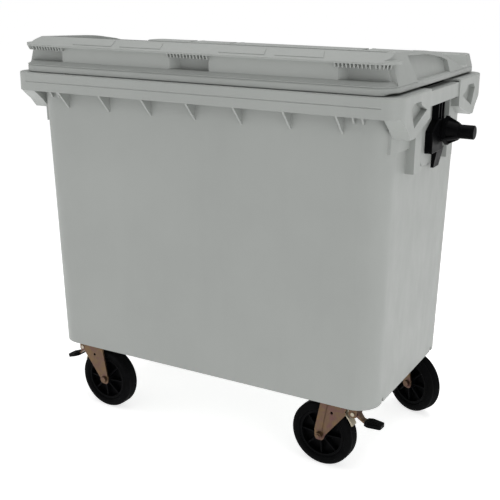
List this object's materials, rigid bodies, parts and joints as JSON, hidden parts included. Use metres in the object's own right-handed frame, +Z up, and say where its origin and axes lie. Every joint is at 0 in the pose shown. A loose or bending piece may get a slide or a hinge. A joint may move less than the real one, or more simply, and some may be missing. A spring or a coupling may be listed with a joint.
{
  "type": "four-wheeled waste container",
  "caption": "Large wheeled refuse container with a low sloped hinged lid, side lifting trunnions, rim for comb lifting and swivel castors, the front pair braked.",
  "frame": {"origin": "floor level under the middle of the container's overall length, width and depth", "axes": "+X along the long side, -Y out of the front with the grips, +Z up; lid hinge along X at the back"},
  "size_m": [1.4, 0.7804, 1.2168],
  "materials": {
    "container_plastic": "fine-grained matt moulding",
    "trunnion_plastic": "satin black",
    "black_plastic": "satin black moulding",
    "bolt_steel": "zinc plated",
    "yellow_steel": "yellow passivated zinc",
    "bright_steel": "ground steel",
    "rubber_black": "soft matt",
    "tyre_rubber": "solid rubber with fine sidewall rings",
    "bush_plastic": "plain natural plastic"
  },
  "bodies": {
    "container": {"tub": "container_plastic", "hinge_pin_caps": "black_plastic", "handle_screws": "bolt_steel", "trunnion_bolts": "bolt_steel", "castor_bolts": "bolt_steel", "castor_balls": "bright_steel", "drain_plug": "black_plastic", "drain_seal": "rubber_black", "hinge_pin_left": "black_plastic", "rear_handle_left": "container_plastic", "trunnion_left": "trunnion_plastic", "hinge_pin_right": "black_plastic", "rear_handle_right": "container_plastic", "trunnion_right": "trunnion_plastic", "castor_plate_front_left": "yellow_steel", "kingpin_front_left": "bolt_steel", "castor_plate_front_right": "yellow_steel", "kingpin_front_right": "bolt_steel", "castor_plate_rear_left": "yellow_steel", "kingpin_rear_left": "bolt_steel", "castor_plate_rear_right": "yellow_steel", "kingpin_rear_right": "bolt_steel"},
    "lid": {"lid": "container_plastic", "lid_buffers": "rubber_black"},
    "front_left_pedal": {"pedal_lever_front_left": "yellow_steel", "pedal_pad_front_left": "black_plastic"},
    "front_left_shoe": {"brake_shoe_front_left": "bolt_steel"},
    "front_left_swivel": {"fork_front_left": "yellow_steel", "axle_bolt_front_left": "yellow_steel", "axle_nut_front_left": "yellow_steel", "pedal_pin_front_left": "bolt_steel", "shoe_pin_front_left": "bolt_steel"},
    "front_left_wheel": {"tyre_front_left": "tyre_rubber", "wheel_hub_front_left": "black_plastic", "wheel_bush_front_left": "bush_plastic"},
    "front_right_pedal": {"pedal_lever_front_right": "yellow_steel", "pedal_pad_front_right": "black_plastic"},
    "front_right_shoe": {"brake_shoe_front_right": "bolt_steel"},
    "front_right_swivel": {"fork_front_right": "yellow_steel", "axle_bolt_front_right": "yellow_steel", "axle_nut_front_right": "yellow_steel", "pedal_pin_front_right": "bolt_steel", "shoe_pin_front_right": "bolt_steel"},
    "front_right_wheel": {"tyre_front_right": "tyre_rubber", "wheel_hub_front_right": "black_plastic", "wheel_bush_front_right": "bush_plastic"},
    "rear_left_swivel": {"fork_rear_left": "yellow_steel", "axle_bolt_rear_left": "yellow_steel", "axle_nut_rear_left": "yellow_steel"},
    "rear_left_wheel": {"tyre_rear_left": "tyre_rubber", "wheel_hub_rear_left": "black_plastic", "wheel_bush_rear_left": "bush_plastic"},
    "rear_right_swivel": {"fork_rear_right": "yellow_steel", "axle_bolt_rear_right": "yellow_steel", "axle_nut_rear_right": "yellow_steel"},
    "rear_right_wheel": {"tyre_rear_right": "tyre_rubber", "wheel_hub_rear_right": "black_plastic", "wheel_bush_rear_right": "bush_plastic"}
  },
  "joints": [
    {"name": "lid_hinge", "type": "hinge", "parent": "container", "child": "lid", "pos_m": [0, 0.37625, 1.156], "axis": [-1, 0, 0], "range_deg": [0, 265]},
    {"name": "front_left_castor_swivel", "type": "hinge", "parent": "container", "child": "front_left_swivel", "pos_m": [-0.455, -0.26425, 0.22], "axis": [0, 0, 1], "continuous": true},
    {"name": "front_left_wheel_spin", "type": "hinge", "parent": "front_left_swivel", "child": "front_left_wheel", "pos_m": [-0.39508, -0.26739, 0.1], "axis": [0.0523, 0.9986, 0], "continuous": true},
    {"name": "front_left_pedal_hinge", "type": "hinge", "parent": "front_left_swivel", "child": "front_left_pedal", "pos_m": [-0.49495, -0.26216, 0.19], "axis": [-0.0523, -0.9986, 0], "range_deg": [-20, 0]},
    {"name": "front_left_shoe_hinge", "type": "hinge", "parent": "front_left_swivel", "child": "front_left_shoe", "pos_m": [-0.47897, -0.26299, 0.198], "axis": [-0.0523, -0.9986, 0], "range_deg": [-5, 0]},
    {"name": "front_right_castor_swivel", "type": "hinge", "parent": "container", "child": "front_right_swivel", "pos_m": [0.455, -0.26425, 0.22], "axis": [0, 0, 1], "continuous": true},
    {"name": "front_right_wheel_spin", "type": "hinge", "parent": "front_right_swivel", "child": "front_right_wheel", "pos_m": [0.39515, -0.26006, 0.1], "axis": [-0.0698, -0.9976, 0], "continuous": true},
    {"name": "front_right_pedal_hinge", "type": "hinge", "parent": "front_right_swivel", "child": "front_right_pedal", "pos_m": [0.4949, -0.26704, 0.19], "axis": [0.0698, 0.9976, 0], "range_deg": [0, 20]},
    {"name": "front_right_shoe_hinge", "type": "hinge", "parent": "front_right_swivel", "child": "front_right_shoe", "pos_m": [0.47894, -0.26592, 0.198], "axis": [0.0698, 0.9976, 0], "range_deg": [0, 5]},
    {"name": "rear_left_castor_swivel", "type": "hinge", "parent": "container", "child": "rear_left_swivel", "pos_m": [-0.455, 0.22975, 0.22], "axis": [0, 0, 1], "continuous": true},
    {"name": "rear_left_wheel_spin", "type": "hinge", "parent": "rear_left_swivel", "child": "rear_left_wheel", "pos_m": [-0.39631, 0.24222, 0.1], "axis": [-0.2079, 0.9781, 0], "continuous": true},
    {"name": "rear_right_castor_swivel", "type": "hinge", "parent": "container", "child": "rear_right_swivel", "pos_m": [0.455, 0.22975, 0.22], "axis": [0, 0, 1], "continuous": true},
    {"name": "rear_right_wheel_spin", "type": "hinge", "parent": "rear_right_swivel", "child": "rear_right_wheel", "pos_m": [0.50981, 0.20535, 0.1], "axis": [0.4067, 0.9135, 0], "continuous": true}
  ],
  "couplings": [
    {"joint": "front_left_shoe_hinge", "follows": "front_left_pedal_hinge", "ratio": 0.24},
    {"joint": "front_right_shoe_hinge", "follows": "front_right_pedal_hinge", "ratio": 0.24}
  ]
}
